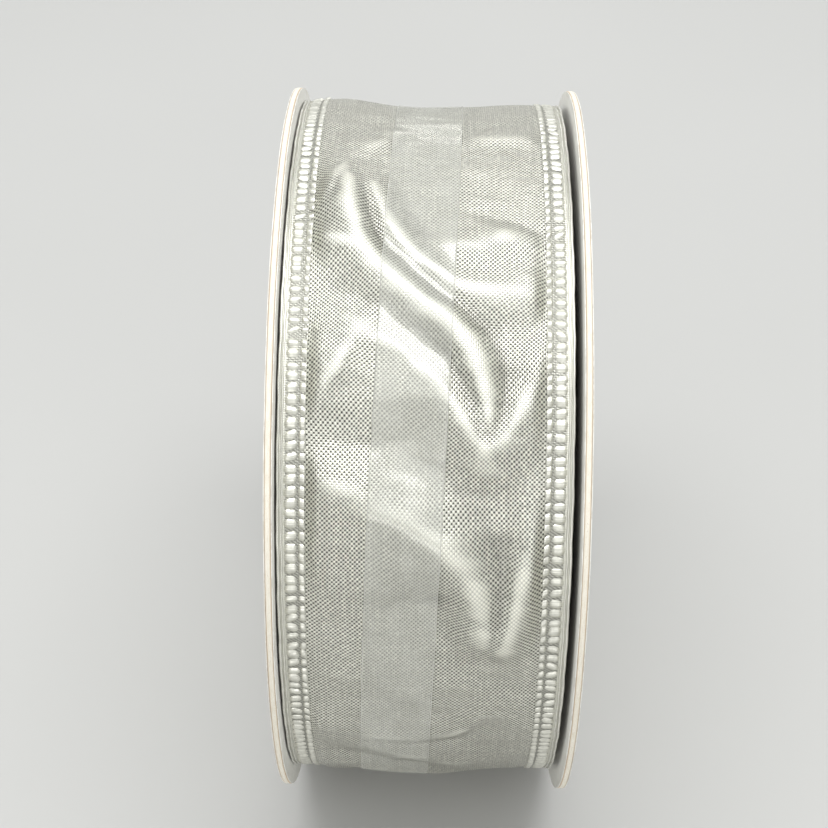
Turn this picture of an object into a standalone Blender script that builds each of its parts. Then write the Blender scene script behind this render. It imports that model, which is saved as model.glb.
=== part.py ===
"""A roll of sheer wired-edge gift ribbon on a paperboard spool.

The spool stands on the rims of its two flanges, with its axis along X and the
origin under its middle, on the ground. All turned pieces are made about the
local Z axis and laid over so that Z points along +X. The local angle 0 then
points down, 90 degrees to the back (+Y), 180 up and 270 to the front (-Y).
Every round piece has the same facets, with one of them flat on the ground.
"""

import math

import bpy
from mathutils import Matrix, Vector

MM = 0.001

# Driving sizes in millimetres
FLANGE_RADIUS = 53.0
FLANGE_HOLE_RADIUS = 9.5
INSIDE_WIDTH = 39.2
BOARD_THICKNESS = 0.8
LINER_THICKNESS = 0.15
LINER_SETBACK = 0.1
PLY_GAP = 0.02
JOINT_GAP = 0.05

CORE_INNER_RADIUS = 20.0
CORE_THICKNESS = 1.8
CORE_WRAP_THICKNESS = 0.15
GLUE_FILLET = 1.8

RIBBON_WIDTH = 38.0
RIBBON_SIDE_GAP = 0.25
PACK_INNER_RADIUS = 22.35
PACK_OUTER_RADIUS = 49.4
PACK_EDGE_SETBACK = 0.05
OUTER_TURN_INNER_RADIUS = 49.5
OUTER_TURN_THICKNESS = 0.3
WIRE_DIAMETER = 0.36
WIRE_RADIUS = 49.85
BINDING_LIFT = 0.1
BINDING_THICKNESS = 0.5
OUTER_BINDING_WIDTH = 2.2
INNER_BINDING_WIDTH = 0.9
BINDING_VALLEY = 0.2

TAPE_INNER_RADIUS = 50.35
TAPE_THICKNESS = 0.1
TAPE_WIDTH = 9.6
TAPE_CENTRE = -2.1
TAPE_TILT = math.radians(2.2)
TAPE_TILT_LINE_RISE = math.radians(40)

START_TAPE_WIDTH = 25.0
START_TAPE_THICKNESS = 0.1
START_TAPE_STEPS = 6

# Facets: every round piece shares them
STEPS = 72
STEP_ANGLE = 2 * math.pi / STEPS
TURN_STEPS = STEPS - 1
FREE_END_STEP = 20
START_TAPE_STEP = 50

# Sizes that follow
AXIS_HEIGHT = FLANGE_RADIUS
INSIDE_FACE = INSIDE_WIDTH / 2
INNER_LINER_FACE = INSIDE_FACE + LINER_THICKNESS
BOARD_INNER_FACE = INNER_LINER_FACE + PLY_GAP
BOARD_OUTER_FACE = BOARD_INNER_FACE + BOARD_THICKNESS
OUTER_LINER_FACE = BOARD_OUTER_FACE + PLY_GAP
OUTSIDE_FACE = OUTER_LINER_FACE + LINER_THICKNESS
CORE_OUTER_RADIUS = CORE_INNER_RADIUS + CORE_THICKNESS
ROLL_CENTRE = -INSIDE_FACE + RIBBON_SIDE_GAP + RIBBON_WIDTH / 2
BINDING_INNER_RADIUS = OUTER_TURN_INNER_RADIUS + OUTER_TURN_THICKNESS + BINDING_LIFT

COLOURS = {
    "white_liner": ((0.86, 0.85, 0.80), 0.45, 0.0, 1.0),
    "chipboard": ((0.62, 0.47, 0.30), 0.90, 0.0, 1.0),
    "core_board": ((0.55, 0.46, 0.36), 0.90, 0.0, 1.0),
    "core_paper": ((0.80, 0.78, 0.72), 0.70, 0.0, 1.0),
    "hot_glue": ((0.85, 0.80, 0.62), 0.35, 0.0, 1.0),
    "silver_weave": ((0.74, 0.74, 0.70), 0.30, 0.9, 1.0),
    "sheer_weave": ((0.80, 0.80, 0.76), 0.28, 0.9, 1.0),
    "silver_rib": ((0.88, 0.88, 0.84), 0.22, 1.0, 1.0),
    "wire": ((0.70, 0.70, 0.68), 0.25, 1.0, 1.0),
    "clear_film": ((0.86, 0.87, 0.84), 0.20, 0.0, 0.5),
}


def clear_scene():
    for item in list(bpy.data.objects):
        bpy.data.objects.remove(item, do_unlink=True)


def make_collection(name):
    collection = bpy.data.collections.new(name)
    bpy.context.scene.collection.children.link(collection)
    return collection


def make_material(node_name, colour_name):
    """Give each piece a material of its own, in one of the shared colours."""
    colour, roughness, metallic, alpha = COLOURS[colour_name]
    material = bpy.data.materials.new(node_name + "_" + colour_name)
    material.use_nodes = True
    shader = material.node_tree.nodes["Principled BSDF"]
    shader.inputs["Base Color"].default_value = (*colour, 1.0)
    shader.inputs["Roughness"].default_value = roughness
    shader.inputs["Metallic"].default_value = metallic
    shader.inputs["Alpha"].default_value = alpha
    material.diffuse_color = (*colour, 1.0)
    return material


def make_empty(name, x, collection):
    empty = bpy.data.objects.new(name, None)
    empty.empty_display_size = 10 * MM
    empty.location = (x * MM, 0.0, AXIS_HEIGHT * MM)
    collection.objects.link(empty)
    return empty


def place(piece, parent, colour_name, x=0.0):
    """Lay a turned piece over onto the X axis, under the empty that carries it."""
    parent.users_collection[0].objects.link(piece)
    piece.parent = parent
    piece.location = (x * MM, 0.0, 0.0)
    piece.rotation_euler = (0.0, math.pi / 2, 0.0)
    piece.data.materials.append(make_material(piece.name, colour_name))
    return piece


def facet_point(radius, height, step=0.0):
    """A corner of the facets whose flat sides are at the given radius."""
    corner = radius / math.cos(STEP_ANGLE / 2)
    angle = (step + 0.5) * STEP_ANGLE
    return (corner * math.cos(angle) * MM, corner * math.sin(angle) * MM, height * MM)


def add_screw(piece, steps):
    screw = piece.modifiers.new("Turn", 'SCREW')
    screw.axis = 'Z'
    screw.angle = steps * STEP_ANGLE
    screw.steps = steps
    screw.render_steps = steps
    screw.use_smooth_shade = False
    if steps == STEPS:
        screw.use_merge_vertices = True
        screw.merge_threshold = 0.00001


def turned_ring(name, profile):
    """A ring from a closed profile of (radius, height) that runs down its outer side."""
    corners = [facet_point(radius, height) for radius, height in profile]
    count = len(corners)
    edges = [(i, (i + 1) % count) for i in range(count)]
    mesh = bpy.data.meshes.new(name)
    mesh.from_pydata(corners, edges, [])
    ring = bpy.data.objects.new(name, mesh)
    add_screw(ring, STEPS)
    return ring


def square_ring(name, inner_radius, outer_radius, low, high):
    return turned_ring(name, [
        (outer_radius, high),
        (outer_radius, low),
        (inner_radius, low),
        (inner_radius, high),
    ])


def curved_strip(name, inner_radius, thickness, low, high, first_step, steps):
    """A band that goes part of the way round, with two cut ends."""
    line = [
        facet_point(inner_radius, high, first_step),
        facet_point(inner_radius, low, first_step),
    ]
    mesh = bpy.data.meshes.new(name)
    mesh.from_pydata(line, [(0, 1)], [])
    strip = bpy.data.objects.new(name, mesh)
    add_screw(strip, steps)
    solid = strip.modifiers.new("Thickness", 'SOLIDIFY')
    solid.thickness = thickness * MM
    solid.offset = 1.0
    solid.use_even_offset = True
    return strip


def wire_arc(name, radius, diameter, first_step, steps):
    """A wire that goes round with the ribbon, from cut end to cut end."""
    curve = bpy.data.curves.new(name, 'CURVE')
    curve.dimensions = '3D'
    curve.bevel_depth = diameter / 2 * MM
    curve.bevel_resolution = 1
    curve.use_fill_caps = True
    spline = curve.splines.new('POLY')
    spline.points.add(steps)
    for i, point in enumerate(spline.points):
        point.co = (*facet_point(radius, 0.0, first_step + i), 1.0)
    return bpy.data.objects.new(name, curve)


def build_flange(side_name, side, spool):
    """Board faced with white paper on both sides; side is -1 on the left, 1 on the right."""
    plies = (
        ("outer_liner", OUTER_LINER_FACE, OUTSIDE_FACE, LINER_SETBACK, "white_liner"),
        ("board", BOARD_INNER_FACE, BOARD_OUTER_FACE, 0.0, "chipboard"),
        ("inner_liner", INSIDE_FACE, INNER_LINER_FACE, LINER_SETBACK, "white_liner"),
    )
    for ply_name, near, far, setback, colour_name in plies:
        low, high = sorted((side * near, side * far))
        ply = square_ring(
            side_name + "_flange_" + ply_name,
            FLANGE_HOLE_RADIUS + setback,
            FLANGE_RADIUS - setback,
            low,
            high,
        )
        place(ply, spool, colour_name)


def build_core(spool):
    tube_end = INSIDE_FACE - JOINT_GAP
    tube = square_ring("core_tube", CORE_INNER_RADIUS, CORE_OUTER_RADIUS, -tube_end, tube_end)
    place(tube, spool, "core_board")

    wrap_radius = CORE_OUTER_RADIUS + JOINT_GAP
    wrap_end = tube_end - JOINT_GAP
    wrap = square_ring(
        "core_wrap", wrap_radius, wrap_radius + CORE_WRAP_THICKNESS, -wrap_end, wrap_end
    )
    place(wrap, spool, "core_paper")

    tape_radius = wrap_radius + CORE_WRAP_THICKNESS + JOINT_GAP
    tape = curved_strip(
        "start_tape",
        tape_radius,
        START_TAPE_THICKNESS,
        ROLL_CENTRE - START_TAPE_WIDTH / 2,
        ROLL_CENTRE + START_TAPE_WIDTH / 2,
        START_TAPE_STEP,
        START_TAPE_STEPS,
    )
    place(tape, spool, "clear_film")


def build_glue_ring(side_name, side, spool):
    """The hot-melt bead in the corner between the core and a flange."""
    outer_radius = CORE_INNER_RADIUS - JOINT_GAP
    inner_radius = outer_radius - GLUE_FILLET
    face = INSIDE_FACE - JOINT_GAP
    toe = face - GLUE_FILLET
    corner = (outer_radius, side * face)
    tube_toe = (outer_radius, side * toe)
    flange_toe = (inner_radius, side * face)
    if side > 0:
        profile = [corner, tube_toe, flange_toe]
    else:
        profile = [tube_toe, corner, flange_toe]
    place(turned_ring(side_name + "_glue_ring", profile), spool, "hot_glue")


def build_wound_ribbon(roll):
    """The turns underneath as one pack, and the last turn round it."""
    pack_edge = RIBBON_WIDTH / 2 - PACK_EDGE_SETBACK
    pack = square_ring(
        "ribbon_inner_turns", PACK_INNER_RADIUS, PACK_OUTER_RADIUS, -pack_edge, pack_edge
    )
    place(pack, roll, "silver_weave")

    weave_edge = RIBBON_WIDTH / 2 - WIRE_DIAMETER - JOINT_GAP
    turn = curved_strip(
        "ribbon_outer_turn",
        OUTER_TURN_INNER_RADIUS,
        OUTER_TURN_THICKNESS,
        -weave_edge,
        weave_edge,
        FREE_END_STEP,
        TURN_STEPS,
    )
    place(turn, roll, "sheer_weave")


def build_ribbon_edge(side_name, side, roll):
    """One edge of the last turn: its wire, then two ribbed bindings side by side."""
    wire = wire_arc(
        side_name + "_edge_wire", WIRE_RADIUS, WIRE_DIAMETER, FREE_END_STEP, TURN_STEPS
    )
    place(wire, roll, "wire", x=side * (RIBBON_WIDTH - WIRE_DIAMETER) / 2)

    far = RIBBON_WIDTH / 2 - WIRE_DIAMETER - JOINT_GAP
    for binding_name, width in (
        ("outer_binding", OUTER_BINDING_WIDTH),
        ("inner_binding", INNER_BINDING_WIDTH),
    ):
        low, high = sorted((side * far, side * (far - width)))
        binding = curved_strip(
            side_name + "_" + binding_name,
            BINDING_INNER_RADIUS,
            BINDING_THICKNESS,
            low,
            high,
            FREE_END_STEP,
            TURN_STEPS,
        )
        place(binding, roll, "silver_rib")
        far -= width + BINDING_VALLEY


def build_holding_tape(roll):
    """The clear band that keeps the free end down.

    It was put on a little askew: it is tipped about a line through the middle of
    the roll that rises towards the front.
    """
    tape = square_ring(
        "holding_tape",
        TAPE_INNER_RADIUS,
        TAPE_INNER_RADIUS + TAPE_THICKNESS,
        -TAPE_WIDTH / 2,
        TAPE_WIDTH / 2,
    )
    place(tape, roll, "clear_film", x=TAPE_CENTRE)
    line = Vector((0.0, -math.cos(TAPE_TILT_LINE_RISE), math.sin(TAPE_TILT_LINE_RISE)))
    tip = Matrix.Rotation(-TAPE_TILT, 3, line)
    tape.rotation_euler = (tip @ tape.rotation_euler.to_matrix()).to_euler()


def main():
    clear_scene()
    collection = make_collection("ribbon_spool")
    spool = make_empty("spool_axis", 0.0, collection)
    roll = make_empty("roll_axis", ROLL_CENTRE, collection)
    build_core(spool)
    build_wound_ribbon(roll)
    build_holding_tape(roll)
    for side_name, side in (("left", -1), ("right", 1)):
        build_flange(side_name, side, spool)
        build_glue_ring(side_name, side, spool)
        build_ribbon_edge(side_name, side, roll)


main()
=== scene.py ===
"""The looks of the ribbon spool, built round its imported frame.

The ribbon's last turn is a woven sheet that lies on the roll in soft slanting
folds, over another sheer turn and the wound pack. Its edges carry two cords and
two rows of ribs each. A frosted clear band goes round the middle.

Places on the roll are given as x along the spool's axis, and as an angle round
it that is 0 towards the camera and grows upwards, over the top and down the
back. Sizes are in millimetres, and around() turns them into the frame's metres.
"""

import math

import bpy
import numpy as np
from mathutils import Matrix, Vector


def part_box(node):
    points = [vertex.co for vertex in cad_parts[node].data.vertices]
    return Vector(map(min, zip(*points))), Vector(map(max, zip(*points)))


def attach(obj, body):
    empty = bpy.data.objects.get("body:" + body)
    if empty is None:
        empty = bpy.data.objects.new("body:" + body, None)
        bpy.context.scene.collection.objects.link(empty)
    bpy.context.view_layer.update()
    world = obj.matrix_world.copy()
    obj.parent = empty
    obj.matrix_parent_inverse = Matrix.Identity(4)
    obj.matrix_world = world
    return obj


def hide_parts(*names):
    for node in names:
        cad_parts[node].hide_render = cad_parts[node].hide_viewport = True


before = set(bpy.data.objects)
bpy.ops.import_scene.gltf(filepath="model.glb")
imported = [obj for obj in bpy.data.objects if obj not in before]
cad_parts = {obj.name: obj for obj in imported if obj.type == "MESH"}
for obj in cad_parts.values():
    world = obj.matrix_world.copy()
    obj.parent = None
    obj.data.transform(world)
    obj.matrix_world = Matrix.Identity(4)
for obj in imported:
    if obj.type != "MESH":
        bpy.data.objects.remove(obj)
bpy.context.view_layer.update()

MM = 0.001

# The view
VIEW_RISE = math.radians(40)
CAMERA_DISTANCE = 276.1
CAMERA_SIDE = 0.8
CAMERA_DROP = 0.55
CAMERA_YAW = math.radians(0.68)
CAMERA_PITCH = math.radians(0.84)
CAMERA_ROLL = math.radians(-0.88)
CAMERA_LENS = 77.4

# The spool, placed by the frame
board_low, board_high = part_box("left_flange_board")
AXIS_HEIGHT = (board_low.z + board_high.z) / 2 / MM
BOARD_MIDDLE = abs(board_low.x + board_high.x) / 2 / MM
FLANGE_RADIUS = AXIS_HEIGHT
pack_low, pack_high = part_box("ribbon_inner_turns")
ROLL_CENTRE = (pack_low.x + pack_high.x) / 2 / MM
HOLE_RADIUS = 9.5
PACK_INNER_RADIUS = 22.4
PACK_OUTER_RADIUS = 49.2
PACK_SETBACK = 0.1
PACK_SCATTER = 0.22
PACK_SEAM_DEPTH = 0.3
PACK_FACE_SETBACK = 0.35
PACK_STEPS = 240
TURNS = 39

# The flanges' plies
CARD_WAVE = 0.03
CARD_WAVE_START = 5.0
BOARD_ROUNDING = 0.12
LINER_ROUNDING = 0.05
LINER_SETBACK = 0.05
DISC_STEPS = 480

# The ribbon's sheets
HALF_WIDTH = 19.0
SHEET_HALF_WIDTH = 18.75
BELOW_HALF_WIDTH = 18.65
BODY_HALF_WIDTH = 15.4
BELOW_RADIUS = 49.45
SHEET_RADIUS = 49.85
FREE_END = math.radians(127.5)
END_LAP = math.radians(9)
DIP_LENGTH = math.radians(22)
DIP_DEPTH = 0.28
BELOW_FOLLOWS = 0.45
BELOW_LAG = math.radians(1.2)
THREAD_PITCH = 0.30
CLOTH_UV_SCALE = 0.01
AROUND_STEPS = 1200
ACROSS_STEPS = 130

# The ribbon's edges. Ribs are (near, far) and cords (distance, thickness), with every
# distance taken in from the ribbon's edge.
EDGE_RADIUS = 50.0
RIB_PITCH = 1.48
RIBS = round(2 * math.pi * EDGE_RADIUS / RIB_PITCH)
RIB_HALF_WIDTH = 0.41 * RIB_PITCH
RIB_CROWN = 0.26
RIB_LIFT = 0.02
RIB_PLACE_SCATTER = 0.07
RIB_SIZE_SCATTER = 0.12
RIB_LEAN_SCATTER = 0.16
RIB_ROWS = 7
RIB_COLUMNS = 5
OUTER_RIBS = (1.0, 2.64)
INNER_RIBS = (2.85, 3.72)
INNER_RIB_LEAN = -0.25
WIRE_CORD = (0.2, 0.36)
INNER_CORD = (0.66, 0.26)
CORD_SEAT = 0.35
CORD_END_GAP = math.radians(0.6)
CORD_STEPS = 720
CORD_SIDES = 10

# Colours
SILVER = (0.96, 0.955, 0.86)
SHEER_GAPS = (0.11, 0.105, 0.085)
BELOW_GAPS = (0.17, 0.165, 0.135)
PACKED_GAPS = (0.3, 0.29, 0.26)
RIB_SILVER = (0.82, 0.815, 0.74)
CORD_SILVER = (0.92, 0.915, 0.85)
CORE_BOARD = ((0.60, 0.52, 0.41), (0.46, 0.38, 0.28))
CORE_PAPER = ((0.82, 0.80, 0.74), (0.70, 0.67, 0.60))

# Lights as (name, degrees up from the front horizon, then distance, width and depth
# in metres, and watts)
LIGHTS = (
    ("overhead_panel", 88, 0.75, 0.75, 0.42, 3.9),
    ("front_panel", 47, 1.3, 1.5, 0.66, 1.85),
    ("low_front_panel", 6, 0.9, 1.1, 0.2, 1.1),
    ("back_panel", 142, 0.9, 1.0, 0.5, 0.12),
    ("low_back_panel", 163, 0.9, 0.8, 0.09, 0.7),
)
ROOM_STRENGTH = 1.2
ROOM_TONES = ((0.50, 0.50, 0.485), (0.62, 0.63, 0.625))

# The clear band
FILM_WIDTH = 9.6
FILM_CENTRE = -2.45
FILM_SWAY = 1.95
FILM_LIFT = 0.1
FILM_THICKNESS = 0.05
FILM_END = math.radians(150)
FILM_LAP = math.radians(14)
FILM_LAP_LIFT = 0.07
FILM_RAMP = math.radians(3)
FILM_ROWS = 720
FILM_COLUMNS = 40


# ---------------------------------------------------------------- geometry


def around(x, angle, radius):
    """Points in metres from x, the angle round the roll and the radius."""
    x, angle, radius = np.broadcast_arrays(x, angle, radius)
    rise = angle + VIEW_RISE
    return np.stack(
        [x, -radius * np.cos(rise), AXIS_HEIGHT + radius * np.sin(rise)], axis=-1
    ) * MM


def add_mesh(name, points, faces, uvs=None):
    """A smooth mesh object from points, faces and one uv for each point."""
    mesh = bpy.data.meshes.new(name)
    mesh.from_pydata(points.reshape(-1, 3).tolist(), [], faces.tolist())
    mesh.polygons.foreach_set("use_smooth", np.ones(len(mesh.polygons), dtype=bool))
    if uvs is not None:
        layer = mesh.uv_layers.new(name="cloth")
        corners = np.empty(len(mesh.loops), dtype=np.int32)
        mesh.loops.foreach_get("vertex_index", corners)
        layer.data.foreach_set("uv", uvs.reshape(-1, 2)[corners].astype(np.float32).ravel())
    piece = bpy.data.objects.new(name, mesh)
    bpy.context.scene.collection.objects.link(piece)
    return piece


def grid_faces(rows, columns, loop_rows=False, loop_columns=False):
    """Quads of a grid of points, closed on itself in either direction if asked."""
    i = np.arange(rows if loop_rows else rows - 1)[:, None]
    j = np.arange(columns if loop_columns else columns - 1)[None, :]
    i, j = np.broadcast_arrays(i, j)
    down = (i + 1) % rows
    right = (j + 1) % columns
    faces = [i * columns + j, i * columns + right, down * columns + right, down * columns + j]
    return np.stack(faces, axis=-1).reshape(-1, 4)


def mark_bends(piece, x, angle):
    """Give each point of a sheet the sharpness of the fold it lies on, which the cloth and film colours use
    for painted highlights on crests and painted shade in creases.
    """
    bend = piece.data.attributes.new("bend", 'FLOAT', 'POINT')
    bend.data.foreach_set("value", read_map(BENDING_MAP, x, angle).astype(np.float32).ravel())


def ride_for(piece, body, slot, *nodes):
    """Fix a piece to its body, in place of the CAD nodes it stands for. slot is not used."""
    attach(piece, body)
    if nodes:
        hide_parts(*nodes)
    return piece


def smooth_step(low, high, value):
    """0 below low, 1 above high, and smooth between."""
    t = np.clip((value - low) / (high - low), 0.0, 1.0)
    return t * t * (3 - 2 * t)


def smooth_line(points, count=48):
    """A Catmull-Rom line through a few given points."""
    points = np.array(points, dtype=float)
    ends = np.vstack([2 * points[0] - points[1], points, 2 * points[-1] - points[-2]])
    t = np.linspace(0, len(points) - 1, count)
    k = np.minimum(t.astype(int), len(points) - 2)
    f = (t - k)[:, None]
    a, b, c, d = ends[k], ends[k + 1], ends[k + 2], ends[k + 3]
    cubic = (3 * b - a - 3 * c + d) * f**3 + (2 * a - 5 * b + 4 * c - d) * f**2
    return 0.5 * (cubic + (c - a) * f + 2 * b)


# ---------------------------------------------------------------- folds

# Each fold is how round its crest is, and the crest itself as points of (x,
# degrees, height, width of one flank, width of the other). A crest that runs to
# the right has its upper flank first.
FRONT_FOLDS = (
    # the main ridge, which winds down from the upper left like an S
    (1.3, (
        (-11.9, 46.4, 0.8, 2, 2), (-11.6, 43, 1.8, 2.4, 2.6), (-11.2, 39, 2.5, 2.4, 3.4),
        (-10.8, 35, 2.7, 2.8, 4.0), (-9.7, 30, 2.7, 3.2, 4.4), (-7.7, 26.2, 2.7, 3.4, 4.4),
        (-5, 23.2, 2.6, 3.4, 4.1), (-2, 20.3, 2.5, 3.2, 3.8), (1.4, 17.4, 2.4, 2.8, 3.5),
        (4.2, 14, 2.3, 2.4, 3.1), (6.2, 9.8, 2.1, 2.2, 2.6), (7.3, 5, 1.8, 2, 2.2),
        (7.7, 0, 1.2, 1.8, 1.8), (7.6, -3, 0.1, 1.8, 1.8),
    )),
    # its companion, which runs out into the shelf on the right
    (0.6, (
        (-10.4, 48, 0.2, 2.4, 2.4), (-8.8, 43, 1.1, 2.8, 2.2), (-7.2, 37.5, 1.6, 3, 2.6),
        (-5.4, 32.6, 1.9, 3.2, 3.2), (-3, 28.6, 2.0, 3.4, 3.4), (0.4, 25, 1.9, 4.5, 3.4),
        (3, 22.9, 1.8, 7, 3.6), (7, 21.7, 1.9, 8, 4), (11, 21.2, 1.8, 8, 4.6),
        (13.4, 21, 1.4, 7, 4), (15.6, 20.9, 0.7, 4, 2.6), (18, 20.8, 0.2, 2, 2),
    )),
    # the low crescent above the shelf
    (0.75, (
        (-2, 30, 0.2, 4, 6), (1, 29.4, 1.1, 5, 7), (5, 29, 1.5, 5.4, 8), (8, 29.6, 1.5, 5.4, 8),
        (10, 31.5, 1.2, 5, 7), (11, 34, 0.2, 4, 5),
    )),
    # the left arm of the main ridge's peak
    (0.3, (
        (-16.6, 30, 0.7, 2.6, 2.2), (-15.6, 34.6, 1.3, 2.8, 2.4), (-14.2, 39.4, 1.5, 2.8, 2.4),
        (-12.9, 43, 1.6, 2.8, 2.4), (-11.9, 46, 1.1, 2.4, 2),
    )),
    # the shoulder under it
    (0.2, (
        (-17.5, 31.6, 0.4, 3, 1.4), (-15.4, 31.2, 1.2, 6, 2.6), (-13, 30.4, 2.0, 7, 3.8),
        (-11.4, 29.4, 2.3, 6, 4.4), (-9.6, 27.4, 2.0, 3, 4.6), (-7.5, 25, 1.0, 2, 4),
    )),
    # the hood in the middle: left arm, the bent crest, and the right arm of its V
    (0.3, (
        (-16.4, 1, 0.4, 4, 2.4), (-14.7, 4.7, 1.1, 5, 3.8), (-12.4, 9, 1.6, 6, 5),
        (-10.6, 12.4, 1.8, 6, 6.4), (-9.2, 15.2, 1.8, 6, 8.6),
    )),
    (0.4, (
        (-9.2, 15.2, 1.8, 6, 8.6), (-8, 14.9, 1.9, 6, 10), (-6, 13.4, 1.8, 5.4, 12),
        (-2.5, 10.4, 1.7, 4.8, 12), (1, 7.2, 1.8, 4.2, 8), (3.8, 3.6, 1.8, 3.4, 5.4),
        (5.6, 0.2, 1.8, 3, 4.6), (7.2, -1.6, 1.7, 2.4, 4.4),
    )),
    (0.75, (
        (7.2, -1.6, 1.7, 2.4, 4.4), (8.8, -0.8, 1.6, 2.2, 4.4), (10.4, 1.4, 1.5, 2.2, 4.6),
        (12, 4.4, 1.4, 2.4, 5), (13.8, 8, 1.1, 2.6, 5), (17, 14, 0.8, 2.6, 5),
    )),
    # the lower ridge and its right arm
    (1.7, (
        (-17, -4.4, 0.5, 2.2, 4), (-14, -6.4, 1.3, 3.8, 8), (-11, -8.2, 2.1, 5.2, 12),
        (-8, -9.8, 2.5, 5.4, 14), (-5, -11.4, 2.7, 5.2, 14), (-2, -13.2, 3.0, 4.8, 12),
        (1.5, -15.8, 3.2, 4.4, 9), (4, -18.6, 3.1, 4, 6.6), (6, -22, 2.8, 3.4, 4.6),
        (7.2, -27, 2.3, 3, 3.6), (8, -32, 1.5, 2.6, 3.2), (8.4, -36, 0.1, 2.6, 2.6),
    )),
    (1.0, (
        (8.4, -35.4, 0.4, 2, 3.4), (9.9, -33, 1.5, 2.2, 3.4), (11.1, -28, 2.0, 2.6, 3.6),
        (12.4, -21.5, 2.0, 2.8, 4.2), (14.2, -15, 1.4, 3, 5), (17, -8, 0.5, 3, 5),
    )),
    # the crease near the bottom
    (0.75, (
        (-17, -52.5, 0.5, 6, 1), (-9, -54.5, 0.7, 6.5, 1), (-1, -56.3, 0.7, 6.5, 1),
        (4, -54.8, 0.6, 6, 1), (7.5, -50, 0.1, 5, 1),
    )),
    # two shallow creases near the top
    (0.75, (
        (-17, 44, 0.4, 4, 2.4), (-13, 48.6, 0.6, 4.6, 2), (-8.5, 52.6, 0.6, 5, 1.6),
        (-5.6, 57, 0.4, 5, 1.6), (-4.6, 60, 0.1, 4, 1.6),
    )),
    (0.75, (
        (4.6, 58, 0.1, 4, 1.6), (6, 56, 0.5, 5, 1.8), (9, 55.4, 0.6, 5, 2),
        (17, 56.2, 0.5, 4, 2.4),
    )),
)
BACK_ROUNDING = 1.1
FOOT_ROUNDING = 0.14
VALLEY_ROUNDING = 0.28
HEIGHT_SOFTENING = 3
SHARP_BEND = 0.5
BEND_SOFTENING = 8

# Small waves as (waves a turn, slope, phase, share), and how strong they are
WAVES = (
    (23, 0.22, 0.4, 0.35),
    (41, -0.35, 1.9, 0.25),
    (57, 0.5, 3.1, 0.2),
    (89, -0.15, 5.2, 0.12),
    (131, 0.7, 0.9, 0.08),
)
BODY_WAVES = 0.18
BODY_LIFT = 0.1
EDGE_WAVES = 0.05

# Over the top the cloth is slack: how high everywhere, and humps of (x, width, height)
TOP_SLACK = 0.25
TOP_HUMPS = ((-14, 7, 1.45), (13.5, 8, 0.85))
TOP_ANGLE = 90
TOP_REACH = 24


def fold_height(x, along, rounding, crest):
    """Height of one fold at places given as x and the length round the roll."""
    line = smooth_line(crest)
    line[:, 1] = np.radians(line[:, 1]) * SHEET_RADIUS
    best = np.full(x.shape, 1e9)
    side = np.ones(x.shape)
    place = np.zeros(x.shape)
    for k in range(len(line) - 1):
        start = line[k, :2]
        step = line[k + 1, :2] - start
        t = ((x - start[0]) * step[0] + (along - start[1]) * step[1]) / (step @ step)
        t = np.clip(t, 0, 1)
        off_x = x - start[0] - t * step[0]
        off_y = along - start[1] - t * step[1]
        away = np.hypot(off_x, off_y)
        closer = away < best
        best = np.where(closer, away, best)
        side = np.where(closer, step[0] * off_y - step[1] * off_x, side)
        place = np.where(closer, k + t, place)
    height, upper, lower = (np.interp(place, np.arange(len(line)), line[:, k]) for k in (2, 3, 4))
    width = np.where(side > 0, upper, lower)
    reach = (np.hypot(best, rounding) - rounding) / width
    flank = FOOT_ROUNDING * np.logaddexp(0, (1 - reach) / FOOT_ROUNDING)
    return height * flank


def back_folds():
    """Folds of the same kind for the side away from the camera."""
    chance = np.random.default_rng(7)
    folds = []
    for middle in range(100, 296, 15):
        lean = chance.uniform(8, 15)
        start = middle + chance.uniform(-4, 4)
        bend = chance.uniform(-4, 4)
        height = chance.uniform(0.7, 1.6)
        upper = chance.uniform(3, 6)
        lower = chance.uniform(4, 9)
        reach = chance.uniform(8, 17)
        crest = (
            (-17, start + lean, 0.6 * height, upper, lower),
            (-7, start + lean * 0.4 + bend, height, upper, lower),
            (4, start - lean * 0.2, height, upper, lower),
            (reach, start - lean, 0.15 * height, upper, lower),
        )
        folds.append((BACK_ROUNDING, crest))
    return folds


BACK_FOLDS = back_folds()


def waves(x, along, strength):
    """Small irregular waves, the same on every run and closed round the roll."""
    height = np.zeros(np.broadcast(x, along).shape)
    for count, slope, phase, share in WAVES:
        height = height + share * np.sin(count * along / SHEET_RADIUS + slope * x + phase)
    return strength * height


def compute_heights(x, angle):
    """How far the last turn stands off the roll, in millimetres."""
    turned = (angle + math.pi) % (2 * math.pi) - math.pi
    front = turned * SHEET_RADIUS
    behind = (angle % (2 * math.pi)) * SHEET_RADIUS
    raised = np.zeros(x.shape)
    for rounding, crest in FRONT_FOLDS:
        raised = raised + np.expm1(fold_height(x, front, rounding, crest) / VALLEY_ROUNDING)
    for rounding, crest in BACK_FOLDS:
        raised = raised + np.expm1(fold_height(x, behind, rounding, crest) / VALLEY_ROUNDING)
    height = VALLEY_ROUNDING * np.log1p(raised)
    body = 1 - smooth_step(BODY_HALF_WIDTH - 1.8, BODY_HALF_WIDTH + 0.5, np.abs(x - ROLL_CENTRE))
    inside = height + waves(x, front, BODY_WAVES) + BODY_LIFT
    height = body * inside + (1 - body) * waves(x, front, EDGE_WAVES)
    over_top = np.exp(-(np.abs(np.degrees(turned) - TOP_ANGLE) / TOP_REACH) ** 2.6)
    slack = TOP_SLACK
    for middle, width, hump in TOP_HUMPS:
        slack = slack + hump * np.exp(-((x - middle) / width) ** 2)
    return height * (1 - 0.4 * over_top) + over_top * slack


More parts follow.
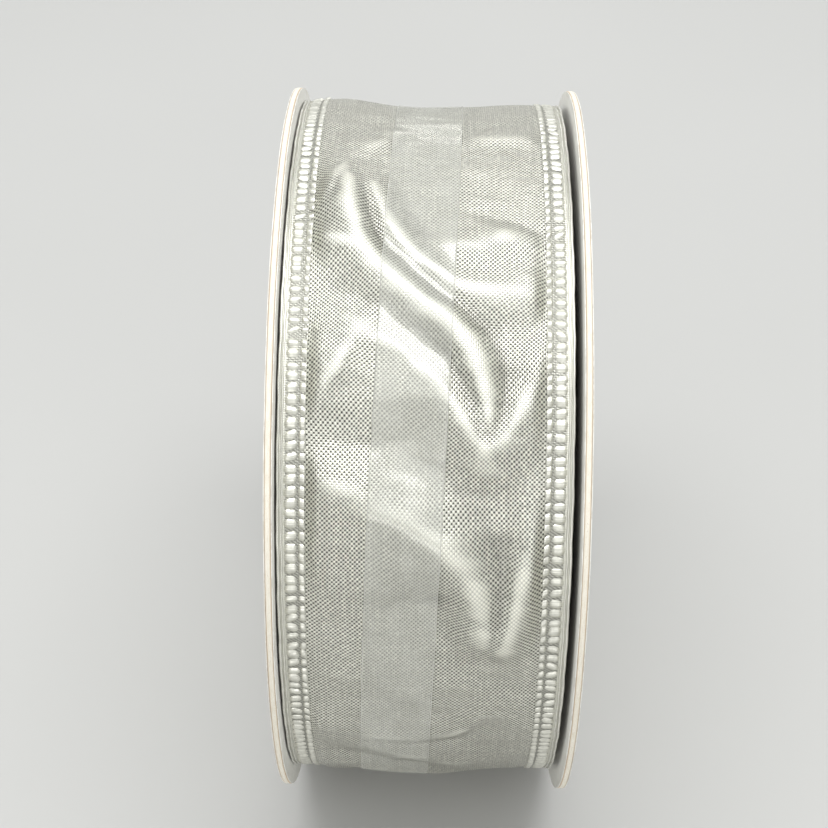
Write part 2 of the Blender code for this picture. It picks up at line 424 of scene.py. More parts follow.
def soften(heights, passes):
    """Even out a map that closes on itself round the roll."""
    ring = heights[:-1]
    for _ in range(passes):
        ring = (np.roll(ring, 1, axis=0) + 2 * ring + np.roll(ring, -1, axis=0)) / 4
        wide = np.pad(ring, ((0, 0), (1, 1)), mode="edge")
        ring = (wide[:, :-2] + 2 * ring + wide[:, 2:]) / 4
    return np.vstack([ring, ring[:1]])


MAP_X = np.linspace(-20, 20, 161)
MAP_ANGLE = np.linspace(-math.pi, math.pi, 1201)
MAP_X_STEP = MAP_X[1] - MAP_X[0]
MAP_ANGLE_STEP = MAP_ANGLE[1] - MAP_ANGLE[0]
HEIGHT_MAP = soften(
    compute_heights(*np.broadcast_arrays(MAP_X[None, :], MAP_ANGLE[:, None])), HEIGHT_SOFTENING
)


def bending(heights):
    """How sharply a map bends: 1 along a crest, -1 in a crease, 0 where it is flat."""
    ring = heights[:-1]
    along_step = MAP_ANGLE_STEP * SHEET_RADIUS
    wide = np.pad(ring, ((0, 0), (1, 1)), mode="edge")
    bend = (2 * ring - wide[:, :-2] - wide[:, 2:]) / MAP_X_STEP**2
    bend = bend + (2 * ring - np.roll(ring, 1, axis=0) - np.roll(ring, -1, axis=0)) / along_step**2
    inside = 1 - smooth_step(BODY_HALF_WIDTH - 3, BODY_HALF_WIDTH - 1.4, np.abs(MAP_X - ROLL_CENTRE))
    bend = np.clip(inside * np.vstack([bend, bend[:1]]) / SHARP_BEND, -1, 1)
    return soften(bend, BEND_SOFTENING)


BENDING_MAP = bending(HEIGHT_MAP)


def read_map(heights, x, angle):
    """A map's value at any place, read between its points."""
    x, angle = np.broadcast_arrays(x, angle)
    turned = (angle + math.pi) % (2 * math.pi) - math.pi
    column = np.clip((x - MAP_X[0]) / MAP_X_STEP, 0, len(MAP_X) - 1.001)
    row = np.clip((turned - MAP_ANGLE[0]) / MAP_ANGLE_STEP, 0, len(MAP_ANGLE) - 1.001)
    j = column.astype(int)
    i = row.astype(int)
    f = column - j
    g = row - i
    low = heights[i, j] * (1 - f) + heights[i, j + 1] * f
    high = heights[i + 1, j] * (1 - f) + heights[i + 1, j + 1] * f
    return low * (1 - g) + high * g


def sheet_height(x, angle):
    """How far the last turn stands off the roll there."""
    return read_map(HEIGHT_MAP, x, angle)


def top_radius(x, angle):
    """The radius of the last turn's surface there."""
    return SHEET_RADIUS + sheet_height(x, angle)


def sheet_grid(first, last, rows, half_width):
    """The (x, angle) grid of a turn of ribbon and its cloth uvs."""
    x = np.linspace(-half_width, half_width, ACROSS_STEPS + 1)[None, :] + ROLL_CENTRE
    angle = np.linspace(first, last, rows + 1)[:, None]
    x, angle = np.broadcast_arrays(x, angle)
    uvs = np.stack([x, angle * SHEET_RADIUS], axis=-1) * CLOTH_UV_SCALE
    return x, angle, uvs


def build_outer_turn(material):
    """The last turn, from its cut end round to where it dips under that end."""
    first = FREE_END - END_LAP - 2 * math.pi
    x, angle, uvs = sheet_grid(first, FREE_END, AROUND_STEPS, SHEET_HALF_WIDTH)
    dip = 1 - smooth_step(0, DIP_LENGTH, angle - first)
    height = sheet_height(x, angle) * (1 - dip)
    radius = SHEET_RADIUS + height - DIP_DEPTH * dip
    points = around(x, angle, radius)
    piece = add_mesh("outer_turn_weave", points, grid_faces(AROUND_STEPS + 1, ACROSS_STEPS + 1), uvs)
    mark_bends(piece, x, angle)
    piece.data.materials.append(material)
    return ride_for(piece, "roll", "sheer_weave", "ribbon_outer_turn")


def build_turn_below(material):
    """The turn underneath, which follows the same folds less sharply."""
    x, angle, uvs = sheet_grid(-math.pi, math.pi, AROUND_STEPS, BELOW_HALF_WIDTH)
    radius = BELOW_RADIUS + BELOW_FOLLOWS * sheet_height(x, angle - BELOW_LAG)
    points = around(x, angle, radius)
    piece = add_mesh("turn_below_weave", points, grid_faces(AROUND_STEPS + 1, ACROSS_STEPS + 1), uvs)
    piece.data.materials.append(material)
    return ride_for(piece, "roll", "silver_weave")


def build_pack(face_material, side_material):
    """The turns below, wound up, with every turn's edge showing at the sides."""
    chance = np.random.default_rng(11)
    radii = np.linspace(PACK_INNER_RADIUS, PACK_OUTER_RADIUS, TURNS + 1)
    pitch = radii[1] - radii[0]
    edge = []
    for radius in radii[:-1]:
        reach = HALF_WIDTH - PACK_SETBACK - chance.uniform(0, PACK_SCATTER)
        edge.append((radius, reach - PACK_SEAM_DEPTH))
        edge.append((radius + 0.2 * pitch, reach))
        edge.append((radius + 0.75 * pitch, reach))
    face_reach = HALF_WIDTH - PACK_FACE_SETBACK
    face = [(PACK_OUTER_RADIUS, ROLL_CENTRE + side * face_reach) for side in (-1, 1)]
    right = [(radius, ROLL_CENTRE + reach) for radius, reach in reversed(edge)]
    left = [(radius, ROLL_CENTRE - reach) for radius, reach in edge]
    profile = np.array(face + right + left)
    angle = np.linspace(0, 2 * math.pi, PACK_STEPS, endpoint=False)[:, None]
    points = around(profile[None, :, 1], angle, profile[None, :, 0])
    uvs = np.stack(
        np.broadcast_arrays(profile[None, :, 1] + 0.1, angle * PACK_OUTER_RADIUS), axis=-1
    ) * CLOTH_UV_SCALE
    faces = grid_faces(PACK_STEPS, len(profile), loop_rows=True, loop_columns=True)
    piece = add_mesh("wound_pack", points, faces, uvs)
    piece.data.materials.append(face_material)
    piece.data.materials.append(side_material)
    on_face = (faces % len(profile)).max(axis=1) <= 1
    piece.data.polygons.foreach_set("material_index", np.where(on_face, 0, 1).astype(np.int32))
    return ride_for(piece, "roll", "silver_weave", "ribbon_inner_turns")


# ---------------------------------------------------------------- ribbon edges


def build_ribs(name, side, near, far, tilt, material, node):
    """A row of lens-shaped ribs; near and far are distances in from the ribbon's edge."""
    chance = np.random.default_rng(len(name))
    t = np.linspace(0, 1, RIB_ROWS)[None, :, None]
    c = np.linspace(-1, 1, RIB_COLUMNS)[None, None, :]
    first = np.arange(RIBS) * 2 * math.pi / RIBS
    jitter = chance.normal(0, RIB_PLACE_SCATTER, RIBS) * RIB_PITCH / EDGE_RADIUS
    middle = (first + jitter)[:, None, None]
    size = (1 + chance.normal(0, RIB_SIZE_SCATTER, RIBS))[:, None, None]
    lean = (tilt + chance.normal(0, RIB_LEAN_SCATTER, RIBS))[:, None, None]
    lens = np.sqrt(np.clip(1 - np.abs(2 * t - 1) ** 3.6, 0, 1))
    width = RIB_HALF_WIDTH * size * (0.4 + 0.6 * lens)
    distance = near + (far - near) * t
    x = ROLL_CENTRE + side * (HALF_WIDTH - distance)
    offset = c * width + lean * (t - 0.5) * (far - near)
    angle = middle + offset / EDGE_RADIUS
    x = np.broadcast_to(x, angle.shape)
    crown = RIB_CROWN * size * np.sqrt(np.clip(1 - c**2, 0, 1)) * (0.3 + 0.7 * lens)
    radius = top_radius(x, angle) + RIB_LIFT + crown
    points = around(x, angle, radius)
    one = grid_faces(RIB_ROWS, RIB_COLUMNS)
    faces = (one[None] + (np.arange(RIBS) * RIB_ROWS * RIB_COLUMNS)[:, None, None]).reshape(-1, 4)
    uvs = np.stack(np.broadcast_arrays(distance, angle * EDGE_RADIUS), axis=-1) * CLOTH_UV_SCALE
    piece = add_mesh(name, points, faces, uvs)
    piece.data.materials.append(material)
    return ride_for(piece, "roll", "silver_rib", node)


def build_edge_cord(name, side, distance, thickness, material, *nodes):
    """A thread-wrapped cord along the ribbon's edge; distance is in from the edge."""
    angle = np.linspace(FREE_END - 2 * math.pi, FREE_END - CORD_END_GAP, CORD_STEPS)[:, None]
    turn = np.linspace(0, 2 * math.pi, CORD_SIDES, endpoint=False)[None, :]
    x_middle = ROLL_CENTRE + side * (HALF_WIDTH - distance)
    base = top_radius(np.full(angle.shape, x_middle), angle) + thickness * CORD_SEAT
    wander = 0.03 * np.sin(31 * angle) + 0.02 * np.sin(77 * angle + 1)
    x = x_middle + wander + thickness / 2 * np.cos(turn)
    radius = base + thickness / 2 * np.sin(turn)
    points = around(x, angle, radius)
    uvs = np.stack(np.broadcast_arrays(turn * thickness / 2, angle * EDGE_RADIUS), axis=-1) * CLOTH_UV_SCALE
    piece = add_mesh(name, points, grid_faces(CORD_STEPS, CORD_SIDES, loop_columns=True), uvs)
    piece.data.materials.append(material)
    return ride_for(piece, "roll", "edge_wire", *nodes)


# ---------------------------------------------------------------- clear band


def build_clear_band(material):
    """A thin film that follows the folds, a little askew, with its ends lapped behind."""
    lap_start = FILM_END - FILM_LAP
    angle = np.linspace(lap_start - 2 * math.pi, FILM_END, FILM_ROWS)[:, None]
    across = np.linspace(-0.5, 0.5, FILM_COLUMNS)[None, :]
    centre = FILM_CENTRE + FILM_SWAY * np.sin(angle)
    x = centre + across * FILM_WIDTH
    angle = np.broadcast_to(angle, x.shape)
    lapped = smooth_step(lap_start - FILM_RAMP, lap_start + FILM_RAMP, angle)
    radius = top_radius(x, angle) + FILM_LIFT + FILM_LAP_LIFT * lapped
    outer = around(x, angle, radius + FILM_THICKNESS)
    inner = around(x, angle, radius)
    points = np.concatenate([outer, inner[:, ::-1]], axis=1)
    uvs = np.stack(np.broadcast_arrays(across * FILM_WIDTH, angle * SHEET_RADIUS), axis=-1)
    uvs = np.concatenate([uvs, uvs[:, ::-1]], axis=1) * CLOTH_UV_SCALE
    faces = grid_faces(FILM_ROWS, 2 * FILM_COLUMNS, loop_columns=True)
    piece = add_mesh("clear_band", points, faces, uvs)
    mark_bends(piece, np.concatenate([x, x[:, ::-1]], axis=1), np.concatenate([angle, angle], axis=1))
    piece.data.materials.append(material)
    return ride_for(piece, "roll", "clear_film", "holding_tape")


# ---------------------------------------------------------------- spool


def build_disc(name, profile, material, slot, node):
    """A ring from a closed (radius, x) profile, with the slight unevenness of cut card."""
    profile = np.array(profile)
    angle = np.linspace(0, 2 * math.pi, DISC_STEPS, endpoint=False)[:, None]
    outward = smooth_step(HOLE_RADIUS + CARD_WAVE_START, FLANGE_RADIUS, profile[None, :, 0])
    uneven = 0.6 * np.sin(5 * angle + len(name)) + 0.4 * np.sin(13 * angle) + 0.2 * np.sin(37 * angle)
    x = profile[None, :, 1] + CARD_WAVE * outward * uneven
    points = around(x, angle, np.broadcast_to(profile[None, :, 0], x.shape))
    uvs = np.stack(np.broadcast_arrays(x, angle * FLANGE_RADIUS), axis=-1) * CLOTH_UV_SCALE
    faces = grid_faces(DISC_STEPS, len(profile), loop_rows=True, loop_columns=True)
    piece = add_mesh(name, points, faces, uvs)
    piece.data.materials.append(material)
    return ride_for(piece, "spool", slot, node)


def rounded_ring_profile(inner, outer, low, high, rounding):
    """A ring's section with small round edges, counter-clockwise in (radius, x)."""
    corners = (
        (outer - rounding, high - rounding, 90, 0),
        (outer - rounding, low + rounding, 0, -90),
        (inner + rounding, low + rounding, -90, -180),
        (inner + rounding, high - rounding, -180, -270),
    )
    profile = []
    for radius, x, start, end in corners:
        for turn in np.radians(np.linspace(start, end, 4)):
            profile.append((radius + rounding * math.cos(turn), x + rounding * math.sin(turn)))
    return profile


def build_flange(side_name, paper, board):
    """A chipboard disc with a paper liner on either face."""
    for ply, setback, rounding, material, slot in (
        ("outer_liner", LINER_SETBACK, LINER_ROUNDING, paper, "white_liner"),
        ("board", 0.0, BOARD_ROUNDING, board, "chipboard"),
        ("inner_liner", LINER_SETBACK, LINER_ROUNDING, paper, "white_liner"),
    ):
        node = side_name + "_flange_" + ply
        low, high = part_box(node)
        profile = rounded_ring_profile(
            HOLE_RADIUS + setback, FLANGE_RADIUS - setback, low.x / MM, high.x / MM, rounding
        )
        build_disc(side_name + "_" + ply + "_disc", profile, material, slot, node)


# ---------------------------------------------------------------- materials


def add_node(tree, kind, inputs=None, **settings):
    """A shader node with its settings, its values and its links."""
    made = tree.nodes.new(kind)
    for key, value in settings.items():
        setattr(made, key, value)
    for key, value in (inputs or {}).items():
        if isinstance(value, bpy.types.NodeSocket):
            tree.links.new(value, made.inputs[key])
        else:
            made.inputs[key].default_value = value
    return made


def calculate(tree, operation, *values):
    """The result of a math node."""
    inputs = dict(enumerate(values))
    return add_node(tree, "ShaderNodeMath", inputs, operation=operation).outputs[0]


def remap(tree, value, low, high, to_low=0.0, to_high=1.0):
    """A smooth step from to_low at low to to_high at high."""
    made = add_node(
        tree,
        "ShaderNodeMapRange",
        {"Value": value, "From Min": low, "From Max": high, "To Min": to_low, "To Max": to_high},
        interpolation_type='SMOOTHSTEP',
    )
    return made.outputs["Result"]


def blend_colours(tree, factor, first, second):
    """The first colour where factor is 0, the second where it is 1."""
    made = add_node(tree, "ShaderNodeMix", data_type='RGBA')
    for name, value in ((0, factor), (6, first), (7, second)):
        if isinstance(value, bpy.types.NodeSocket):
            tree.links.new(value, made.inputs[name])
        elif name == 0:
            made.inputs[name].default_value = value
        else:
            made.inputs[name].default_value = (*value, 1.0)
    return made.outputs[2]


def noise(tree, vector, scale, detail=2.0, roughness=0.5):
    """Cloudy noise, mostly between 0.3 and 0.7."""
    made = add_node(
        tree,
        "ShaderNodeTexNoise",
        {"Vector": vector, "Scale": scale, "Detail": detail, "Roughness": roughness},
    )
    return made.outputs["Fac"]


def start_material(name):
    """A new material, its node tree and its shader."""
    material = bpy.data.materials.new(name)
    material.use_nodes = True
    tree = material.node_tree
    return material, tree, tree.nodes["Principled BSDF"]


def stretched(tree, vector, across, along):
    """Coordinates scaled by across and along."""
    return add_node(
        tree, "ShaderNodeVectorMath", {0: vector, 1: (across, along, 1.0)}, operation='MULTIPLY'
    ).outputs[0]


def cloth_uv(tree, unit):
    """The cloth's own coordinates, counted in the given unit of millimetres."""
    uv = add_node(tree, "ShaderNodeUVMap", uv_map="cloth").outputs["UV"]
    return stretched(tree, uv, 1 / CLOTH_UV_SCALE / unit, 1 / CLOTH_UV_SCALE / unit)


def bump(tree, height, distance, strength):
    """A normal for relief of the given depth in metres."""
    made = add_node(
        tree, "ShaderNodeBump", {"Height": height, "Distance": distance, "Strength": strength}
    )
    return made.outputs["Normal"]


def object_place(tree):
    """The place on the piece, in metres."""
    return add_node(tree, "ShaderNodeTexCoord").outputs["Object"]


def separate(tree, vector):
    """The three parts of a vector."""
    return add_node(tree, "ShaderNodeSeparateXYZ", {0: vector}).outputs


def fold_sharpness(tree):
    """What mark_bends wrote on the sheet."""
    return add_node(tree, "ShaderNodeAttribute", attribute_name="bend").outputs["Fac"]


def cloth_noise(tree, uv, across, along, low, high, detail=1.0, roughness=0.5):
    """Noise of so many grains a unit across and along the cloth, spread over 0 to 1."""
    grain = noise(tree, stretched(tree, uv, across, along), 1.0, detail, roughness)
    return remap(tree, grain, low, high)


def wave(tree, value):
    """A sine that crosses zero at every whole number."""
    return calculate(tree, 'SINE', calculate(tree, 'MULTIPLY', value, math.pi))


def times(colour, share):
    """A colour made darker or brighter by a share."""
    return tuple(share * part for part in colour)


def thread_tones(tree, uv, bright, dark):
    """The colours of the gaps and of the warp, uneven from thread to thread."""
    patches = cloth_noise(tree, uv, 0.05, 0.03, 0.35, 0.65, detail=3.0)
    weft_tone = cloth_noise(tree, uv, 0.02, 0.8, 0.32, 0.68)
    warp_tone = cloth_noise(tree, uv, 0.9, 0.015, 0.32, 0.68)
    uneven = cloth_noise(tree, uv, 0.55, 0.4, 0.34, 0.66, detail=2.0, roughness=0.6)
    gaps = blend_colours(tree, patches, dark, times(dark, 0.7))
    gaps = blend_colours(tree, weft_tone, gaps, times(dark, 1.15))
    gaps = blend_colours(tree, uneven, times(dark, 0.45), gaps)
    warp = blend_colours(tree, warp_tone, bright, times(bright, 0.8))
    warp = blend_colours(tree, uneven, times(bright, 0.72), warp)
    return gaps, warp


def border_tone(tree, from_middle, slant, bright):
    """The close weave under the ribs, darkened partly for its own tone and partly as painted shade between
    the ribs, and the paler strip along the very edge.
    """
    herringbone = remap(tree, wave(tree, slant), -0.4, 0.5)
    # Painted shade: the weave between the ribs is kept dark, partly its own tone and partly the shade the
    # ribs would cast.
    close_weave_and_rib_shade = blend_colours(tree, herringbone, times(bright, 0.3), times(bright, 0.5))
    strip_start = (HALF_WIDTH - 1.2) / THREAD_PITCH
    strip_full = (HALF_WIDTH - 1.0) / THREAD_PITCH
    return blend_colours(tree, remap(tree, from_middle, strip_start, strip_full), close_weave_and_rib_shade, times(bright, 0.74))


def weave_material(name, bright, dark, opening, shift):
    """Plain weave of metallic warp and clear weft, painted lighter along fold crests as a painted highlight
    and darker in creases as painted shade. opening is how see-through its gaps are.
    """
    material, tree, shader = start_material(name)
    uv = cloth_uv(tree, THREAD_PITCH)
    across, along, _ = separate(tree, uv)
    sway = noise(tree, stretched(tree, uv, 0.022, 0.022), 1.0)
    sway = calculate(tree, 'MULTIPLY', calculate(tree, 'SUBTRACT', sway, 0.5), 9.0)
    u = calculate(tree, 'ADD', calculate(tree, 'MULTIPLY_ADD', sway, 0.4, across), shift)
    v = calculate(tree, 'ADD', calculate(tree, 'SUBTRACT', along, sway), shift * 0.7)
    warp_wave = wave(tree, u)
    weft_wave = wave(tree, v)
    crossing = calculate(tree, 'MULTIPLY', warp_wave, weft_wave)
    warp_on_top = remap(tree, crossing, -0.53, -0.06)

    gaps, warp = thread_tones(tree, uv, bright, dark)
    bend = fold_sharpness(tree)
    # Painted highlight: along fold crests the gaps and the warp turn to the bright silver.
    gaps = blend_colours(tree, remap(tree, bend, 0.05, 0.9, 0.0, 0.75), gaps, bright)
    warp = blend_colours(tree, remap(tree, bend, 0.05, 0.9), warp, bright)
    cloth = blend_colours(tree, warp_on_top, gaps, warp)
    # Painted shade: in creases the cloth turns darker.
    painted_crease_shade = remap(tree, bend, -0.15, -0.9, 0.0, 0.3)
    cloth = blend_colours(tree, painted_crease_shade, cloth, times(dark, 0.5))

    off_centre = calculate(tree, 'SUBTRACT', across, ROLL_CENTRE / THREAD_PITCH)
    from_middle = calculate(tree, 'ABSOLUTE', off_centre)
    border_start = (BODY_HALF_WIDTH - 0.1) / THREAD_PITCH
    border_full = (BODY_HALF_WIDTH + 0.2) / THREAD_PITCH
    border = remap(tree, from_middle, border_start, border_full)
    # Under the ribs the cloth takes the close weave's tone, which is partly painted shade between the ribs.
    close_weave_and_rib_shade = border_tone(tree, from_middle, calculate(tree, 'MULTIPLY_ADD', v, 1.4, u), bright)
    tree.links.new(blend_colours(tree, border, cloth, close_weave_and_rib_shade), shader.inputs["Base Color"])

    shader.inputs["Metallic"].default_value = 0.9
    tree.links.new(remap(tree, warp_on_top, 0, 1, 0.45, 0.3), shader.inputs["Roughness"])
    pillow = calculate(tree, 'POWER', calculate(tree, 'ABSOLUTE', crossing), 0.6)
    tree.links.new(bump(tree, pillow, 0.00005, 0.8), shader.inputs["Normal"])
    if opening > 0:
        thread = calculate(
            tree, 'MAXIMUM', calculate(tree, 'ABSOLUTE', warp_wave), calculate(tree, 'ABSOLUTE', weft_wave)
        )
        hole = remap(tree, thread, 0.62, 0.3, 0.0, opening)
        clear_weft = remap(tree, warp_on_top, 0, 1, 0.3 * opening, 0.0)
        open_share = calculate(tree, 'MAXIMUM', hole, clear_weft)
        open_share = calculate(tree, 'MULTIPLY', open_share, calculate(tree, 'SUBTRACT', 1.0, border))
        tree.links.new(calculate(tree, 'SUBTRACT', 1.0, open_share), shader.inputs["Alpha"])
    return material


def thread_material(name, colour, pitch, slant):
    """Metallic thread wrapped or laid side by side, for ribs and cords."""
    material, tree, shader = start_material(name)
    uv = cloth_uv(tree, pitch)
    across, along, _ = separate(tree, uv)
    phase = calculate(tree, 'ADD', along, calculate(tree, 'MULTIPLY', across, slant))
    strand = calculate(tree, 'ABSOLUTE', wave(tree, phase))
    patches = cloth_noise(tree, uv, 0.4, 0.25, 0.3, 0.7, detail=2.0)
    strand_shade = remap(tree, strand, 0, 0.5, 0.55, 1.0)
    shade = calculate(tree, 'MULTIPLY', strand_shade, remap(tree, patches, 0, 1, 0.8, 1.0))
    tree.links.new(blend_colours(tree, shade, times(colour, 0.35), colour), shader.inputs["Base Color"])
    shader.inputs["Metallic"].default_value = 1.0
    tree.links.new(remap(tree, patches, 0, 1, 0.42, 0.3), shader.inputs["Roughness"])
    tree.links.new(bump(tree, strand, 0.00003, 0.4), shader.inputs["Normal"])
    return material


def pack_side_material():
    """The edges of the wound turns: silver thread ends with dark seams between."""
    material, tree, shader = start_material("wound_edges")
    place = object_place(tree)
    grain = noise(tree, place, 2500.0, 3.0, 0.6)
    tone = blend_colours(tree, remap(tree, grain, 0.3, 0.7), (0.16, 0.155, 0.145), (0.72, 0.71, 0.67))
    tree.links.new(tone, shader.inputs["Base Color"])
    shader.inputs["Metallic"].default_value = 0.8
    tree.links.new(remap(tree, grain, 0.3, 0.7, 0.55, 0.32), shader.inputs["Roughness"])
    tree.links.new(bump(tree, grain, 0.0001, 0.5), shader.inputs["Normal"])
    return material


def film_material():
    """Frosted clear film over metal cloth: it glows with the cloth's light, blurs the weave, and is painted
    lighter along fold crests as a painted highlight.
    """
    material, tree, shader = start_material("frosted_film")
    uv = cloth_uv(tree, 1.0)
    from_middle = calculate(tree, 'ABSOLUTE', separate(tree, uv)[0])
    edge = remap(tree, from_middle, FILM_WIDTH / 2 - 0.16, FILM_WIDTH / 2 - 0.04)
    haze = cloth_noise(tree, uv, 0.3, 0.12, 0.3, 0.7)
    specks = cloth_noise(tree, uv, 3.2, 3.2, 0.6, 0.7, detail=2.0)
    lines = cloth_noise(tree, uv, 4.0, 0.05, 0.35, 0.65)
    tone = blend_colours(tree, haze, (0.78, 0.785, 0.73), (0.83, 0.835, 0.78))
    tone = blend_colours(tree, specks, tone, (0.93, 0.935, 0.89))
    # Painted highlight: the film turns near white along fold crests.
    painted_crest_highlight = remap(tree, fold_sharpness(tree), 0.1, 0.9)
    tone = blend_colours(tree, painted_crest_highlight, tone, (0.95, 0.955, 0.91))
    tree.links.new(tone, shader.inputs["Base Color"])
    shader.inputs["Metallic"].default_value = 0.38
    cover = remap(tree, haze, 0, 1, 0.18, 0.24)
    for mark, share in ((lines, 0.03), (specks, 0.08), (edge, 0.45)):
        cover = calculate(tree, 'ADD', cover, calculate(tree, 'MULTIPLY', mark, share))
    tree.links.new(cover, shader.inputs["Alpha"])
    tree.links.new(remap(tree, haze, 0, 1, 0.2, 0.26), shader.inputs["Roughness"])
    scratches = calculate(tree, 'ADD', lines, specks)
    tree.links.new(bump(tree, scratches, 0.00001, 0.3), shader.inputs["Normal"])
    return material


def paper_material():
    """White coated liner paper: fine tooth, faint mottling, and a rubbed, greyer rim."""
    material, tree, shader = start_material("liner_paper")
    place = object_place(tree)
    tooth = noise(tree, place, 3500.0, 3.0, 0.6)
    mottle = remap(tree, noise(tree, place, 120.0, 4.0, 0.6), 0.35, 0.65)
    base = blend_colours(tree, mottle, (0.83, 0.82, 0.77), (0.88, 0.87, 0.83))
    to_axis = {0: place, 1: (0.0, 0.0, -AXIS_HEIGHT * MM)}
    centred = add_node(tree, "ShaderNodeVectorMath", to_axis, operation='ADD')
    to_plane = {0: centred.outputs[0], 1: (0.0, 1.0, 1.0)}
    flat = add_node(tree, "ShaderNodeVectorMath", to_plane, operation='MULTIPLY')
    radius = add_node(tree, "ShaderNodeVectorMath", {0: flat.outputs[0]}, operation='LENGTH')
    rim = remap(tree, radius.outputs["Value"], (FLANGE_RADIUS - 1.6) * MM, FLANGE_RADIUS * MM)
    scuffs = remap(tree, noise(tree, place, 420.0, 4.0, 0.7), 0.45, 0.62)
    worn = calculate(tree, 'MULTIPLY', calculate(tree, 'MULTIPLY', rim, scuffs), 0.55)
    tree.links.new(blend_colours(tree, worn, base, (0.60, 0.56, 0.49)), shader.inputs["Base Color"])
    tree.links.new(remap(tree, tooth, 0.3, 0.7, 0.5, 0.36), shader.inputs["Roughness"])
    tree.links.new(bump(tree, tooth, 0.00004, 0.25), shader.inputs["Normal"])
    return material


def board_material():
    """Raw chipboard: pressed fibre layers that run round the rim."""
    material, tree, shader = start_material("chipboard_edge")
    uv = cloth_uv(tree, 1.0)
    layers = noise(tree, stretched(tree, uv, 9.0, 0.6), 1.0, 4.0, 0.65)
    flecks = noise(tree, stretched(tree, uv, 14.0, 3.0), 1.0, 2.0, 0.6)
    tone = blend_colours(tree, remap(tree, layers, 0.3, 0.7), (0.80, 0.74, 0.62), (0.93, 0.89, 0.80))
    tone = blend_colours(tree, remap(tree, flecks, 0.62, 0.72, 0.0, 0.6), tone, (0.36, 0.27, 0.18))
    across = calculate(tree, 'ABSOLUTE', separate(tree, uv)[0])
    off_middle = calculate(tree, 'ABSOLUTE', calculate(tree, 'SUBTRACT', across, BOARD_MIDDLE))
    glued = remap(tree, off_middle, 0.22, 0.38, 0.0, 0.8)
    tone = blend_colours(tree, glued, tone, (0.58, 0.43, 0.28))
    tree.links.new(tone, shader.inputs["Base Color"])
    shader.inputs["Roughness"].default_value = 0.85
    tree.links.new(bump(tree, layers, 0.00008, 0.6), shader.inputs["Normal"])
    return material


def tube_material(name, light, dark):
    """Spiral-wound board or paper, with the seam of its winding."""
    material, tree, shader = start_material(name)
    place = object_place(tree)
    x, y, z = separate(tree, place)
    angle = calculate(tree, 'ARCTAN2', calculate(tree, 'SUBTRACT', z, AXIS_HEIGHT * MM), y)
    turn = calculate(tree, 'MULTIPLY', angle, 1 / (2 * math.pi))
    winding = calculate(tree, 'ADD', turn, calculate(tree, 'MULTIPLY', x, 40.0))
    seam = calculate(tree, 'ABSOLUTE', calculate(tree, 'SUBTRACT', calculate(tree, 'FRACT', winding), 0.5))
    gap = remap(tree, seam, 0.0, 0.02, 1.0, 0.0)
    fibres = noise(tree, place, 900.0, 4.0, 0.65)
    tone = blend_colours(tree, remap(tree, fibres, 0.3, 0.7), dark, light)
    tone = blend_colours(tree, calculate(tree, 'MULTIPLY', gap, 0.6), tone, times(dark, 0.4))
    tree.links.new(tone, shader.inputs["Base Color"])
    shader.inputs["Roughness"].default_value = 0.85
    relief = calculate(tree, 'SUBTRACT', fibres, gap)
    tree.links.new(bump(tree, relief, 0.0001, 0.5), shader.inputs["Normal"])
    return material


def glue_material():
    """Cloudy hot-melt glue."""
    material, tree, shader = start_material("hot_melt")
    place = object_place(tree)
    cloud = noise(tree, place, 260.0, 3.0, 0.5)
    tone = blend_colours(tree, remap(tree, cloud, 0.3, 0.7), (0.74, 0.66, 0.44), (0.86, 0.80, 0.62))
    tree.links.new(tone, shader.inputs["Base Color"])
    tree.links.new(remap(tree, cloud, 0.3, 0.7, 0.18, 0.35), shader.inputs["Roughness"])
    shader.inputs["Subsurface Weight"].default_value = 0.25
    shader.inputs["Subsurface Radius"].default_value = (0.002, 0.0015, 0.001)
    tree.links.new(bump(tree, cloud, 0.0004, 0.5), shader.inputs["Normal"])
    return material


def floor_material():
    """A pale, even floor."""
    material, tree, shader = start_material("pale_floor")
    place = object_place(tree)
    mottle = remap(tree, noise(tree, place, 6.0, 2.0), 0.3, 0.7)
    tone = blend_colours(tree, mottle, (0.53, 0.53, 0.52), (0.545, 0.545, 0.535))
    tree.links.new(tone, shader.inputs["Base Color"])
    shader.inputs["Roughness"].default_value = 0.6
    return material


# ---------------------------------------------------------------- stage


def build_stage():
    """The floor that the spool stands on."""
    bpy.ops.mesh.primitive_plane_add(size=8.0, location=(0.0, 0.0, 0.0))
    floor = bpy.context.object
    floor.name = "floor"
    floor.data.materials.append(floor_material())


def build_lights():
    """Soft panels that face the roll."""
    axis = Vector((0.0, 0.0, AXIS_HEIGHT * MM))
    for name, rise, distance, width, depth, power in LIGHTS:
        turn = math.radians(rise)
        direction = Vector((0.0, -math.cos(turn), math.sin(turn))).normalized()
        light = bpy.data.lights.new(name, 'AREA')
        light.shape = 'RECTANGLE'
        light.size = width
        light.size_y = depth
        light.energy = power
        panel = bpy.data.objects.new(name, light)
        bpy.context.scene.collection.objects.link(panel)
        panel.location = axis + direction * distance
        panel.rotation_euler = direction.to_track_quat('Z', 'Y').to_euler()


def build_world():
    """A dim room: grey ahead and at the sides, lighter over the top."""
    world = bpy.data.worlds.new("room")
    bpy.context.scene.world = world
    world.use_nodes = True
    tree = world.node_tree
    place = add_node(tree, "ShaderNodeTexCoord").outputs["Generated"]
    height = separate(tree, place)[2]
    tone = blend_colours(tree, remap(tree, height, -0.1, 0.9), *ROOM_TONES)
    background = tree.nodes["Background"]
    tree.links.new(tone, background.inputs["Color"])
    background.inputs["Strength"].default_value = ROOM_STRENGTH


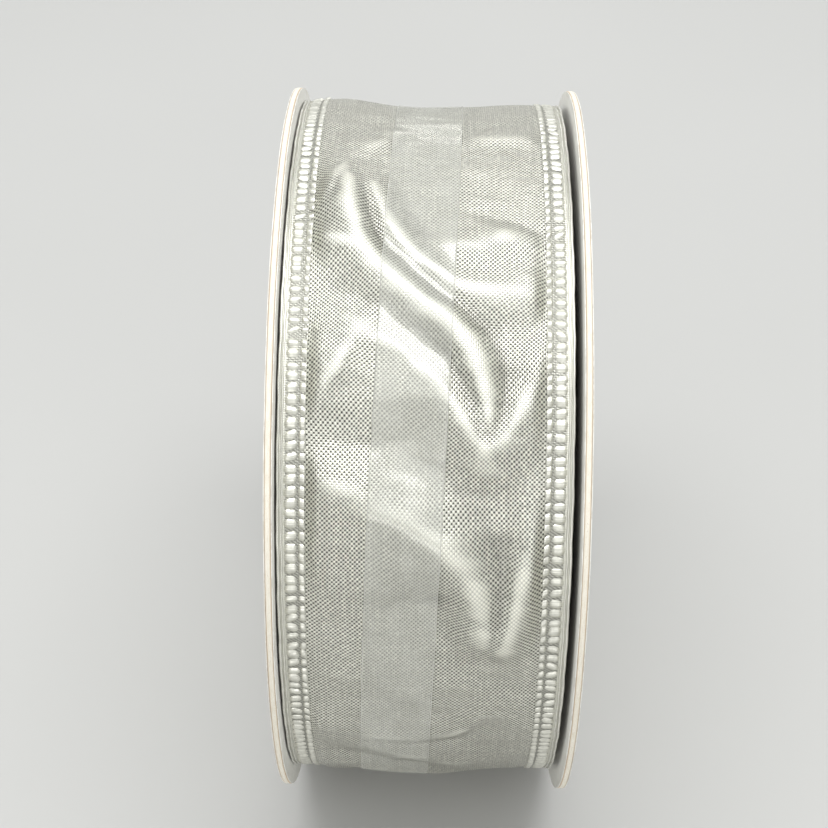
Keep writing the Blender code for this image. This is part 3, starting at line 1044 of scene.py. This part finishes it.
def build_camera():
    """The camera, looking down on the roll's front at VIEW_RISE."""
    data = bpy.data.cameras.new("camera")
    data.lens = CAMERA_LENS
    data.sensor_width = 36.0
    data.clip_start = 0.01
    data.clip_end = 20.0
    camera = bpy.data.objects.new("camera", data)
    bpy.context.scene.collection.objects.link(camera)
    to_view = Matrix.Rotation(-VIEW_RISE, 4, 'X')
    place = Vector((CAMERA_SIDE, -CAMERA_DISTANCE, -CAMERA_DROP)) * MM
    turn = (
        Matrix.Rotation(CAMERA_YAW, 4, 'Z')
        @ Matrix.Rotation(CAMERA_PITCH, 4, 'X')
        @ Matrix.Rotation(CAMERA_ROLL, 4, 'Y')
        @ Matrix.Rotation(math.pi / 2, 4, 'X')
    )
    axis = Matrix.Translation((0.0, 0.0, AXIS_HEIGHT * MM))
    camera.matrix_world = axis @ to_view @ Matrix.Translation(place) @ turn
    bpy.context.scene.camera = camera


def give_material(node, material):
    """Put a material on a CAD node that is shown as it is."""
    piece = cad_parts[node]
    for slot in piece.material_slots:
        slot.material = material


def main():
    build_camera()
    build_lights()
    build_world()
    build_stage()
    bpy.context.scene.view_settings.view_transform = 'Standard'

    sheer = weave_material("sheer_weave", SILVER, SHEER_GAPS, opening=0.5, shift=0.0)
    below = weave_material("weave_below", times(SILVER, 0.92), BELOW_GAPS, opening=0.4, shift=0.37)
    packed = weave_material("weave_packed", times(SILVER, 0.75), PACKED_GAPS, opening=0.0, shift=0.71)
    ribs = thread_material("rib_threads", RIB_SILVER, pitch=0.30, slant=0.0)
    cord = thread_material("cord_threads", CORD_SILVER, pitch=0.35, slant=1.0)
    paper = paper_material()
    board = board_material()

    build_outer_turn(sheer)
    build_turn_below(below)
    build_pack(packed, pack_side_material())
    for name, side in (("left", -1), ("right", 1)):
        build_ribs(name + "_outer_ribs", side, *OUTER_RIBS, 0.0, ribs, name + "_outer_binding")
        build_ribs(name + "_inner_ribs", side, *INNER_RIBS, INNER_RIB_LEAN, ribs, name + "_inner_binding")
        build_edge_cord(name + "_wire_cord", side, *WIRE_CORD, cord, name + "_edge_wire")
        build_edge_cord(name + "_inner_cord", side, *INNER_CORD, cord)
        build_flange(name, paper, board)
        give_material(name + "_glue_ring", glue_material())
    build_clear_band(film_material())
    give_material("core_tube", tube_material("core_board", *CORE_BOARD))
    give_material("core_wrap", tube_material("core_paper", *CORE_PAPER))
    give_material("start_tape", film_material())


main()
